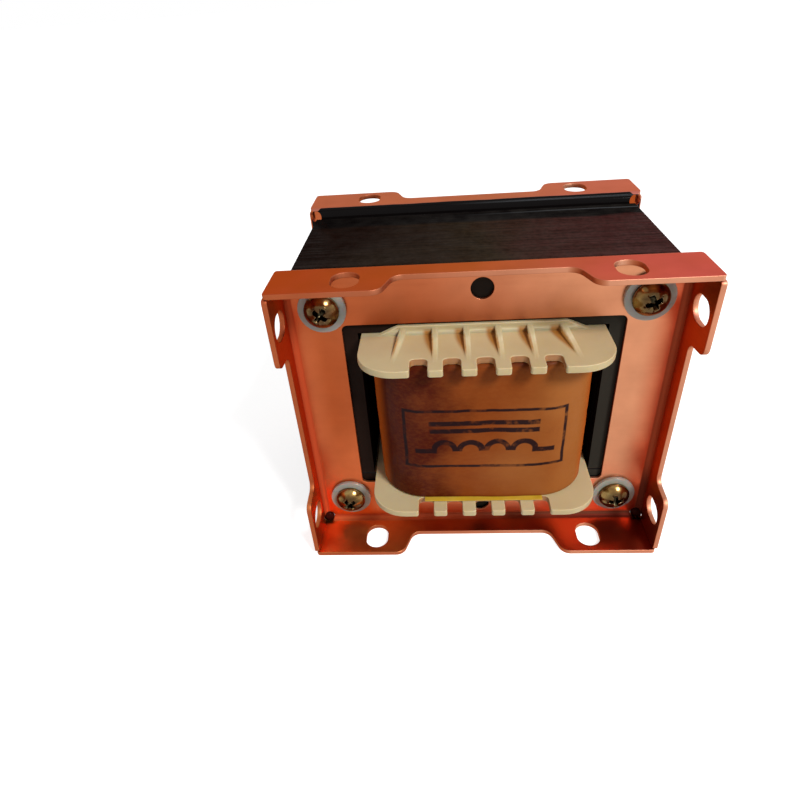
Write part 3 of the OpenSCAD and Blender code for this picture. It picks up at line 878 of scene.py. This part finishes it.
cream = mix(tree, use(tree, BLOTCHES, Scale=60.0, Contrast=2.0), CREAM_DARK, CREAM_LIGHT)
on_wall = times(tree, step(tree, from_wall, 0.3 * MM, 0.1 * MM), outside, 0.7)
cream = mix(tree, on_wall, cream, WALL_CREAM)
cream = mix(tree, amber_near_wall_and_ribs, cream, amber)
# Upright faces get a darker cream: painted shade.
upright = step(tree, size(tree, facing["Z"]), 0.7, 0.3)
cream = mix(tree, times(tree, upright, 0.5), cream, UPRIGHT_SHADE_CREAM)
# The notch walls get a brown tint: painted shade.
painted_notch_shade = times(
    tree,
    step(tree, from_wall, NOTCH_END, NOTCH_END - 0.4 * MM),
    step(tree, from_wall, NOTCH_BOTTOM, NOTCH_BOTTOM + MM),
    step(tree, from_middle, NOTCHES_HALF_W, NOTCHES_HALF_W - 0.5 * MM),
    upright, 0.8)
cream = mix(tree, painted_notch_shade, cream, NOTCH_SHADE_BROWN)
cream = mix(tree, use(tree, EDGE_WEAR, Amount=0.15), cream, RUBBED)
grain = use(tree, BLOTCHES, Scale=1800.0, Contrast=1.0)
wire(tree, shader,
     Base_Color=mix(tree, use(tree, DUST, Amount=0.12), cream, NYLON_DUST),
     Roughness=step(tree, grain, 0.0, 1.0, 0.36, 0.5),
     Normal=bump(tree, grain, 0.1, 0.02))
dress(nylon, bobbin)

# %% [markdown]
# ## Varnished paper and the ink stamp
#
# The paper's brown varies in blotches and runs from dark at the left to light at the right. Its side edges
# are a brighter red, a painted highlight, and dark patches just under the flange are painted shadow. The
# varnish leaves it half glossy.
# A box with a rating is stamped on such coils. Here the stamp holds only the circuit symbol for an iron-core
# coil: four humps, two leads and two bars. Each line of it is a distance worked out from the Object
# coordinates, then made soft and broken by noise, because a rubber stamp never prints evenly.

# %% Paper
PAPER_DARK = (0.060, 0.006, 0.0015, 1)
PAPER_BROWN = (0.20, 0.042, 0.006, 1)
PAPER_LIGHT = (0.31, 0.102, 0.022, 1)
PAPER_EDGE_HIGHLIGHT = (0.40, 0.085, 0.010, 1)
WRAP_TOP = wrap_high.z / MM

varnished, tree, shader = new_material("varnished paper", Coat_Roughness=0.25, Specular_IOR_Level=0.03)
spot = position(tree)
x_mm = times(tree, spot["X"], 1 / MM)
z_mm = times(tree, spot["Z"], 1 / MM)
soak = use(tree, BLOTCHES, Scale=55.0, Contrast=2.2)
across = plus(tree, x_mm, times(tree, minus(tree, soak, EVEN), 16.0))
brown = mix(tree, step(tree, across, -16.0, -5.0), PAPER_DARK, PAPER_BROWN)
brown = mix(tree, step(tree, across, -4.0, 24.0), brown, PAPER_LIGHT)
# The side edges get a brighter red: painted highlight.
brown = mix(tree, step(tree, size(tree, x_mm), 22.3, 25.2), brown, PAPER_EDGE_HIGHLIGHT)
# Dark patches just under the flange are painted shadow.
patches = step(tree, use(tree, BLOTCHES, Scale=130.0, Contrast=3.0), 0.1, 0.7, 0.2, 0.85)
painted_dark_band = times(tree, step(tree, z_mm, WRAP_TOP - 5.0, WRAP_TOP - 0.3), patches)
brown = mix(tree, painted_dark_band, brown, PAPER_DARK)
fibre = use(tree, STREAKS, Density=(800.0, 800.0, 1500.0))
brown = mix(tree, step(tree, fibre, 0.35, 0.7, 0.0, 0.1), brown, PAPER_LIGHT)

# %% The stamp: a border and a coil symbol, as distances in millimetres
STAMP_Z = 38.3
STAMP_HALF_W, STAMP_HALF_H = 18.4, 8.1
BORDER_LINE, HUMP_LINE, BAR_LINE = 0.36, 0.7, 0.65
HUMP = 3.1
HUMPS_HALF_W = 4 * HUMP
HUMP_INSET, LEAD_OVERLAP, BAR_INSET = 0.45, 0.6, 0.5
BASE_Z = -3.6
LEAD = 3.2
BARS_Z = (2.4, 4.6)


def stroke(distance, half_width):
    """Ink where the distance is less than half the stroke's width."""
    return step(tree, distance, half_width - 0.12, half_width + 0.16, 1.0, 0.0)


wobble = minus(tree, use(tree, BLOTCHES, Scale=110.0, Contrast=1.0), EVEN)
stamp_x = plus(tree, x_mm, wobble)
stamp_z = plus(tree, minus(tree, z_mm, STAMP_Z), wobble)
off_centre = size(tree, stamp_x)
off_side = minus(tree, off_centre, STAMP_HALF_W)
border = size(tree, largest(tree, off_side, minus(tree, size(tree, stamp_z), STAMP_HALF_H)))
rise = minus(tree, stamp_z, BASE_Z)
fold = minus(tree, calc(tree, "FLOORED_MODULO", plus(tree, stamp_x, HUMPS_HALF_W), 2 * HUMP), HUMP)
from_hump = calc(tree, "SQRT", plus(tree, times(tree, fold, fold), times(tree, rise, rise)))
arc = size(tree, minus(tree, from_hump, HUMP - HUMP_INSET))
in_humps = step(tree, off_centre, HUMPS_HALF_W - 0.1, HUMPS_HALF_W + 0.1, 1.0, 0.0)
humps = times(tree, stroke(arc, HUMP_LINE), in_humps, step(tree, rise, -0.1, 0.1))
lead = largest(
    tree, size(tree, rise), minus(tree, HUMPS_HALF_W - LEAD_OVERLAP, off_centre),
    minus(tree, off_centre, HUMPS_HALF_W + LEAD))
ink = largest(tree, stroke(border, BORDER_LINE), humps, stroke(lead, BAR_LINE))
for bar_z in BARS_Z:
    bar = largest(
        tree, size(tree, minus(tree, stamp_z, bar_z)), minus(tree, off_centre, HUMPS_HALF_W - BAR_INSET))
    ink = largest(tree, ink, stroke(bar, BAR_LINE))
print("stamp of", 2 * STAMP_HALF_W, "by", 2 * STAMP_HALF_H, "mm")

# %% Print the stamp on the front of the paper only, and worn
INK = (0.012, 0.004, 0.005, 1)
front_only = step(tree, spot["Y"], -29 * MM, -31 * MM)
patchy = step(tree, use(tree, BLOTCHES, Scale=420.0, Contrast=1.8), 0.15, 0.5, 0.5, 0.97)
wire(tree, shader,
     Base_Color=mix(tree, times(tree, ink, front_only, patchy), brown, INK),
     Roughness=step(tree, fibre, 0.3, 0.7, 0.42, 0.6),
     Coat_Weight=step(tree, soak, 0.0, 1.0, 0.01, 0.1),
     Normal=bump(tree, fibre, 0.14, 0.05))
dress(varnished, wrap)

# %% [markdown]
# ## Yellow zinc
#
# The bolts are zinc plated and passivated in chromate, which leaves a thin film that shifts between gold,
# green and pink. A ramp over soft blotches gives that play of colour, and its darkest stops stand in for dark
# reflections: painted reflection. The metal is smoother than copper. The cross recess is found by its depth
# under the dome of the head and painted dark, with a dark ring round it: painted shade.

# %% Yellow zinc: painted shade in and round the recess in each head
BOLT_X = 35.75 * MM
BOLT_MIDDLE, BOLT_HALF_RISE = 38.6 * MM, 28.85 * MM
HEAD_FRONT = -25.55 * MM
HEAD_R, DOME_DROP = 4 * MM, 2.3 * MM
RECESS_R = 2.3 * MM
SHADE_FULL_R, SHADE_END_R = 1.9 * MM, 3.3 * MM

zinc, tree, shader = new_material("yellow zinc", Metallic=1.0)
spot = position(tree)
from_x = minus(tree, size(tree, spot["X"]), BOLT_X)
from_z = minus(tree, size(tree, minus(tree, spot["Z"], BOLT_MIDDLE)), BOLT_HALF_RISE)
square = plus(tree, times(tree, from_x, from_x), times(tree, from_z, from_z))
dome = plus(tree, times(tree, square, DOME_DROP / HEAD_R ** 2), HEAD_FRONT)
# The recess and a ring round it are darkened: painted shade.
recess = times(
    tree, step(tree, minus(tree, spot["Y"], dome), 0.04 * MM, 0.3 * MM),
    step(tree, square, RECESS_R ** 2, (RECESS_R + 0.2 * MM) ** 2, 1.0, 0.0))
painted_ring_shade = times(
    tree, step(tree, square, SHADE_FULL_R ** 2, SHADE_END_R ** 2, 0.8, 0.0),
    step(tree, spot["Y"], HEAD_FRONT + 1.2 * MM, HEAD_FRONT + MM))

# %% Yellow zinc: the film's colours, with painted reflection
ZINC_WORN = (0.70, 0.60, 0.38, 1)
ZINC_RING_SHADE = (0.07, 0.04, 0.018, 1)
RECESS_SHADE = (0.035, 0.028, 0.015, 1)

film = use(tree, BLOTCHES, Scale=180.0, Contrast=3.2)
# The darkest stops of the ramp stand in for dark reflections: painted reflection.
gold = ramp(
    tree, film, (0.0, (0.08, 0.03, 0.01)), (0.4, (0.25, 0.145, 0.047)), (0.65, (0.31, 0.215, 0.077)),
    (1.0, (0.14, 0.055, 0.021)))
gold = mix(tree, use(tree, EDGE_WEAR, Amount=0.6), gold, ZINC_WORN)
gold = mix(tree, painted_ring_shade, gold, ZINC_RING_SHADE)
scuffs = use(tree, STREAKS, Density=(700.0, 700.0, 700.0))
wire(tree, shader,
     Base_Color=mix(tree, recess, gold, RECESS_SHADE),
     Roughness=step(tree, scuffs, 0.3, 0.7, 0.14, 0.24),
     Normal=bump(tree, scuffs, 0.15, 0.02))
dress(zinc, *[small[name] for name in ("through_bolts", "hex_nuts", "split_washers", "plain_washers")])

# %% [markdown]
# ## Insulators and hidden pieces
#
# The insulating washers are pale and let some light through. The tape under the paper shows as a yellow line
# along the lower flange. The winding, the sheet in the air gap and the sleeves are inside, but each still
# gets its own finish, for whoever takes the choke apart.

# %% Washers, tape, gap sheet and sleeves
PLAIN_DUST = (0.4, 0.34, 0.27, 1)


def plain_finish(name, dark, light, scale, low_gloss, high_gloss, dipped=0.0, **constants):
    """A plain finish. The share called dipped says how much varnish covers what faces sideways."""
    material, tree, shader = new_material(name, **constants)
    spread = use(tree, BLOTCHES, Scale=scale, Contrast=1.8)
    colour = mix(tree, spread, (*dark, 1), (*light, 1))
    colour = mix(tree, use(tree, EDGE_WEAR, Amount=0.4), colour, (*light, 1))
    side = step(tree, size(tree, direction(tree)["Z"]), 0.3, 0.7, dipped, 0.0)
    colour = mix(tree, side, colour, VARNISH_BLACK)
    fine = use(tree, STREAKS, Density=(900.0, 900.0, 900.0))
    wire(tree, shader,
         Base_Color=mix(tree, use(tree, DUST, Amount=0.1), colour, PLAIN_DUST),
         Roughness=step(tree, fine, 0.3, 0.7, low_gloss, high_gloss),
         Normal=bump(tree, fine, 0.15, 0.02))
    return material


washer_fibre = plain_finish(
    "insulating washer", (0.58, 0.55, 0.47), (0.68, 0.65, 0.58), 300.0, 0.15, 0.25,
    Subsurface_Weight=0.4, Subsurface_Scale=0.001, Transmission_Weight=0.55)
tape_finish = plain_finish("yellow tape", (0.42, 0.22, 0.008), (0.64, 0.42, 0.02), 200.0, 0.3, 0.45)
gap_finish = plain_finish(
    "gap sheet", (0.10, 0.05, 0.02), (0.22, 0.12, 0.05), 400.0, 0.5, 0.7, dipped=1.0, Specular_IOR_Level=0.1)
sleeve_finish = plain_finish("sleeve", (0.62, 0.55, 0.40), (0.75, 0.70, 0.56), 200.0, 0.3, 0.5)

dress(washer_fibre, *[piece for name, piece in small.items() if "insulator" in name])
dress(tape_finish, cad["inner_tape"])
dress(gap_finish, cad["air_gap_spacer"])
dress(sleeve_finish, *[cad[f"bolt_sleeve_{number}"] for number in range(1, 5)])

# %% The winding: enamelled wire, laid turn beside turn, with painted shade and highlight
WIRE_PITCH = 0.45 * MM
WIRE_GROOVE_SHADE = (0.10, 0.015, 0.004, 1)
WIRE_CROWN_HIGHLIGHT = (0.45, 0.13, 0.035, 1)
enamel, tree, shader = new_material("enamelled wire")
# Darker between the turns and brighter on their crowns: painted shade and painted highlight.
turn = times(tree, position(tree)["Z"], 1 / WIRE_PITCH)
crown = calc(tree, "SINE", times(tree, turn, 2 * math.pi))
wire(tree, shader,
     Base_Color=mix(tree, step(tree, crown, -1.0, 1.0), WIRE_GROOVE_SHADE, WIRE_CROWN_HIGHLIGHT),
     Roughness=step(tree, use(tree, BLOTCHES, Scale=300.0, Contrast=1.0), 0.0, 1.0, 0.2, 0.35),
     Normal=bump(tree, crown, 0.8, 0.1))
dress(enamel, cad["winding"])

# %% [markdown]
# ## Floor and light
#
# The choke stands on a plain white floor under one soft lamp at the front right, with an even white world to
# fill the shadows. Only rays from the camera, and those that metal or clear plastic sends on, see the floor
# and the world brighter than they light the choke, so the background is clean and the shadows stay.

# %% A white floor that keeps the shadow
scene.view_settings.view_transform = "Standard"
FLOOR_SIDE = 40.0
floor_mesh = bmesh.new()
bmesh.ops.create_grid(floor_mesh, x_segments=1, y_segments=1, size=FLOOR_SIDE / 2)
floor_data = bpy.data.meshes.new("floor")
floor_mesh.to_mesh(floor_data)
floor_mesh.free()
floor = bpy.data.objects.new("floor", floor_data)
scene.collection.objects.link(floor)


def shows_white(tree, in_metal):
    """1 for rays that should see the background as white, and in_metal for reflections of it."""
    path = put(tree, "LightPath").outputs
    mirrored = times(tree, path["Is Glossy Ray"], in_metal)
    seen = plus(tree, path["Is Camera Ray"], path["Is Transmission Ray"], mirrored)
    return calc(tree, "MINIMUM", seen, 1.0)


FLOOR_GLOW = 0.68
pale, tree, shader = new_material("pale floor", Roughness=0.9, Specular_IOR_Level=0.1)
shader["Base Color"].default_value = (0.8, 0.8, 0.8, 1)
shader["Emission Strength"].default_value = 1.0
wire(tree, shader, Emission_Color=times(tree, shows_white(tree, 0.4), FLOOR_GLOW))
dress(pale, floor)

# %% The world and the lamp
WORLD_FILL = 0.4
world = bpy.data.worlds.new("white room")
world.use_nodes = True
scene.world = world
tree = world.node_tree
strength = largest(tree, shows_white(tree, 1.0), WORLD_FILL)
tree.links.new(strength, tree.nodes["Background"].inputs["Strength"])
tree.nodes["Background"].inputs["Color"].default_value = (1, 1, 1, 1)

LAMP_DISTANCE = 0.9
LAMP_RIGHT = math.radians(37)
LAMP_UP = math.radians(43)
LAMP_TARGET = Vector((0, 0, 40)) * MM
level = math.cos(LAMP_UP)
towards = Vector((math.sin(LAMP_RIGHT) * level, -math.cos(LAMP_RIGHT) * level, math.sin(LAMP_UP)))
lamp_data = bpy.data.lights.new("soft lamp", "AREA")
lamp_data.shape = "DISK"
lamp_data.size = 0.22
lamp_data.energy = 7.0
lamp = bpy.data.objects.new("soft lamp", lamp_data)
lamp.location = LAMP_TARGET + towards * LAMP_DISTANCE
lamp.rotation_euler = towards.to_track_quat("Z", "Y").to_euler()
scene.collection.objects.link(lamp)
print("lamp at", [round(v, 3) for v in lamp.location])
